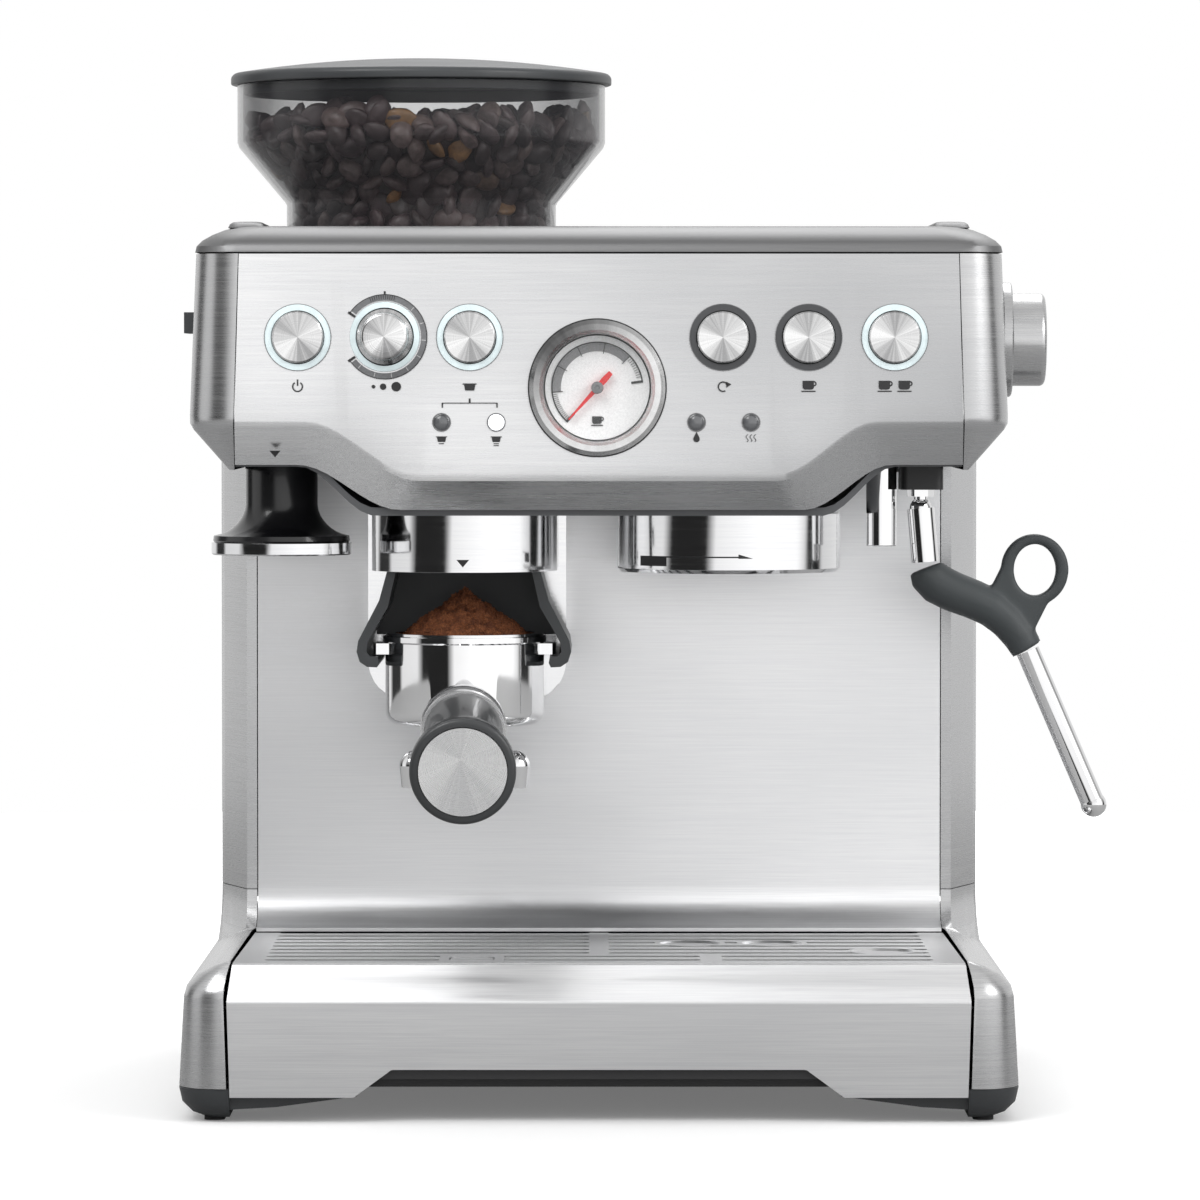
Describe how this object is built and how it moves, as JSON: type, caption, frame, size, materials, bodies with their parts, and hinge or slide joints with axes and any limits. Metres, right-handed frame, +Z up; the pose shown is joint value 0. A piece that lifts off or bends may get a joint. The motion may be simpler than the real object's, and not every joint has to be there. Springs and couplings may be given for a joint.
{
  "type": "espresso machine",
  "caption": "Countertop espresso machine with grinder hopper, group head, portafilter in a grinding cradle, steam wand, pressure gauge, drip tray and rear water tank.",
  "frame": {"origin": "on the floor, under the centre of the whole machine's box", "axes": "+Z up; the controls face -Y; +X is to the right of a person facing the controls"},
  "size_m": [0.3514, 0.3916, 0.4028],
  "materials": {
    "brushed_steel": "brushed, fine horizontal grain",
    "polished_chrome": "polished",
    "dark_plastic": "fine satin",
    "black_plastic": "gloss",
    "soft_rubber": "matt",
    "smoke_clear": "clear, smoke tinted",
    "light_pipe": "translucent white",
    "burr_steel": "machined",
    "brass": "turned",
    "heater_alloy": "cast",
    "circuit_board": "satin",
    "hose": "translucent silicone",
    "red_plastic": "satin",
    "beans": "oily, roasted",
    "grounds": "granular"
  },
  "bodies": {
    "root": {"base_pan": "black_plastic", "corner_feet": "dark_plastic", "rubber_pads": "soft_rubber", "left_base_cover": "brushed_steel", "right_base_cover": "brushed_steel", "left_side_panel": "brushed_steel", "right_side_panel": "brushed_steel", "back_panel": "brushed_steel", "top_cover": "brushed_steel", "front_panel": "brushed_steel", "lower_fascia": "dark_plastic", "rear_cover": "dark_plastic", "cord_gland": "dark_plastic", "group_head": "polished_chrome", "shower_screen": "brushed_steel", "grinder_outlet": "brushed_steel", "cradle": "dark_plastic", "hot_water_spout": "polished_chrome", "wand_bracket": "dark_plastic", "panel_lights": "light_pipe", "gauge_bezel": "polished_chrome", "heater": "heater_alloy", "pump": "dark_plastic", "steam_valve": "brass", "grinder_housing": "dark_plastic", "grinder_motor": "burr_steel", "control_board": "circuit_board", "water_hoses": "hose", "case_screws": "polished_chrome"},
    "hopper": {"hopper": "smoke_clear", "coffee_beans": "beans"},
    "hopper_lid": {"hopper_lid": "dark_plastic"},
    "power_button": {"power_button": "brushed_steel"},
    "filter_button": {"filter_button": "brushed_steel"},
    "program_button": {"program_button": "brushed_steel"},
    "one_cup_button": {"one_cup_button": "brushed_steel"},
    "two_cup_button": {"two_cup_button": "brushed_steel"},
    "grind_amount_dial": {"grind_amount_dial": "brushed_steel"},
    "grind_size_dial": {"grind_size_dial": "dark_plastic"},
    "steam_dial": {"steam_dial": "brushed_steel"},
    "wand_ball": {"wand_ball": "polished_chrome"},
    "wand": {"wand_tube": "polished_chrome", "wand_grip": "soft_rubber"},
    "portafilter": {"portafilter": "polished_chrome", "filter_basket": "brushed_steel", "ground_coffee": "grounds", "portafilter_handle": "black_plastic", "handle_cap": "brushed_steel"},
    "grind_switch": {"grind_switch": "dark_plastic"},
    "tamper": {"tamper_handle": "black_plastic", "tamper_base": "brushed_steel"},
    "drip_tray": {"drip_tray": "dark_plastic", "tray_front": "brushed_steel"},
    "drip_grille": {"drip_grille": "brushed_steel"},
    "tray_float": {"tray_float": "red_plastic"},
    "water_tank": {"water_tank": "smoke_clear"},
    "tank_lid": {"tank_lid": "dark_plastic"},
    "gauge_needle": {"gauge_needle": "red_plastic"},
    "burr": {"cone_burr": "burr_steel"},
    "motor_pinion": {"motor_pinion": "brass"}
  },
  "joints": [
    {"name": "hopper_lift", "type": "slide", "parent": "root", "child": "hopper", "axis": [0, 0, 1], "range_m": [0, 0.1]},
    {"name": "hopper_lid_lift", "type": "slide", "parent": "hopper", "child": "hopper_lid", "axis": [0, 0, 1], "range_m": [0, 0.06]},
    {"name": "power_press", "type": "slide", "parent": "root", "child": "power_button", "axis": [0, 1, 0], "range_m": [0, 0.0018], "stiffness_N_per_m": 400},
    {"name": "filter_press", "type": "slide", "parent": "root", "child": "filter_button", "axis": [0, 1, 0], "range_m": [0, 0.0018], "stiffness_N_per_m": 400},
    {"name": "program_press", "type": "slide", "parent": "root", "child": "program_button", "axis": [0, 1, 0], "range_m": [0, 0.0018], "stiffness_N_per_m": 400},
    {"name": "one_cup_press", "type": "slide", "parent": "root", "child": "one_cup_button", "axis": [0, 1, 0], "range_m": [0, 0.0018], "stiffness_N_per_m": 400},
    {"name": "two_cup_press", "type": "slide", "parent": "root", "child": "two_cup_button", "axis": [0, 1, 0], "range_m": [0, 0.0018], "stiffness_N_per_m": 400},
    {"name": "grind_amount_turn", "type": "hinge", "parent": "root", "child": "grind_amount_dial", "pos_m": [-0.098, -0.11, 0.2914], "axis": [0, 1, 0], "range_deg": [-135, 135]},
    {"name": "grind_size_turn", "type": "hinge", "parent": "root", "child": "grind_size_dial", "pos_m": [-0.1701, -0.045, 0.297], "axis": [1, 0, 0], "range_deg": [-70, 70]},
    {"name": "steam_dial_turn", "type": "hinge", "parent": "root", "child": "steam_dial", "pos_m": [0.1369, -0.045, 0.2907], "axis": [1, 0, 0], "range_deg": [-90, 90]},
    {"name": "wand_swivel", "type": "hinge", "parent": "root", "child": "wand_ball", "pos_m": [0.1046, -0.055, 0.2264], "axis": [0, 0, 1], "range_deg": [-110, 60]},
    {"name": "wand_tilt", "type": "hinge", "parent": "wand_ball", "child": "wand", "pos_m": [0.1046, -0.055, 0.2264], "axis": [0, 1, 0], "range_deg": [-12, 16]},
    {"name": "portafilter_out", "type": "slide", "parent": "root", "child": "portafilter", "axis": [0, -1, 0], "range_m": [0, 0.16]},
    {"name": "grind_switch_press", "type": "slide", "parent": "root", "child": "grind_switch", "axis": [0, 1, 0], "range_m": [0, 0.003], "stiffness_N_per_m": 300},
    {"name": "tamper_pull", "type": "slide", "parent": "root", "child": "tamper", "axis": [0, 0, -1], "range_m": [0, 0.085]},
    {"name": "drip_tray_out", "type": "slide", "parent": "root", "child": "drip_tray", "axis": [0, -1, 0], "range_m": [0, 0.15]},
    {"name": "grille_lift", "type": "slide", "parent": "drip_tray", "child": "drip_grille", "axis": [0, 0, 1], "range_m": [0, 0.04]},
    {"name": "float_rise", "type": "slide", "parent": "drip_tray", "child": "tray_float", "axis": [0, 0, 1], "range_m": [0, 0.008]},
    {"name": "tank_lift", "type": "slide", "parent": "root", "child": "water_tank", "axis": [0, 0, 1], "range_m": [0, 0.27]},
    {"name": "tank_lid_open", "type": "hinge", "parent": "water_tank", "child": "tank_lid", "pos_m": [-0.0181, 0.195, 0.3227], "axis": [-1, 0, 0], "range_deg": [0, 80]},
    {"name": "gauge_needle_turn", "type": "hinge", "parent": "root", "child": "gauge_needle", "pos_m": [-0.0187, -0.11, 0.2724], "axis": [0, 1, 0], "range_deg": [0, 260], "stiffness_Nm_per_rad": 0.0004},
    {"name": "burr_spin", "type": "hinge", "parent": "root", "child": "burr", "pos_m": [-0.0888, 0.065, 0.26], "axis": [0, 0, 1], "continuous": true},
    {"name": "motor_spin", "type": "hinge", "parent": "root", "child": "motor_pinion", "pos_m": [-0.06, 0.065, 0.245], "axis": [0, 0, 1], "continuous": true}
  ],
  "couplings": [
    {"joint": "motor_spin", "follows": "burr_spin", "ratio": -3}
  ]
}
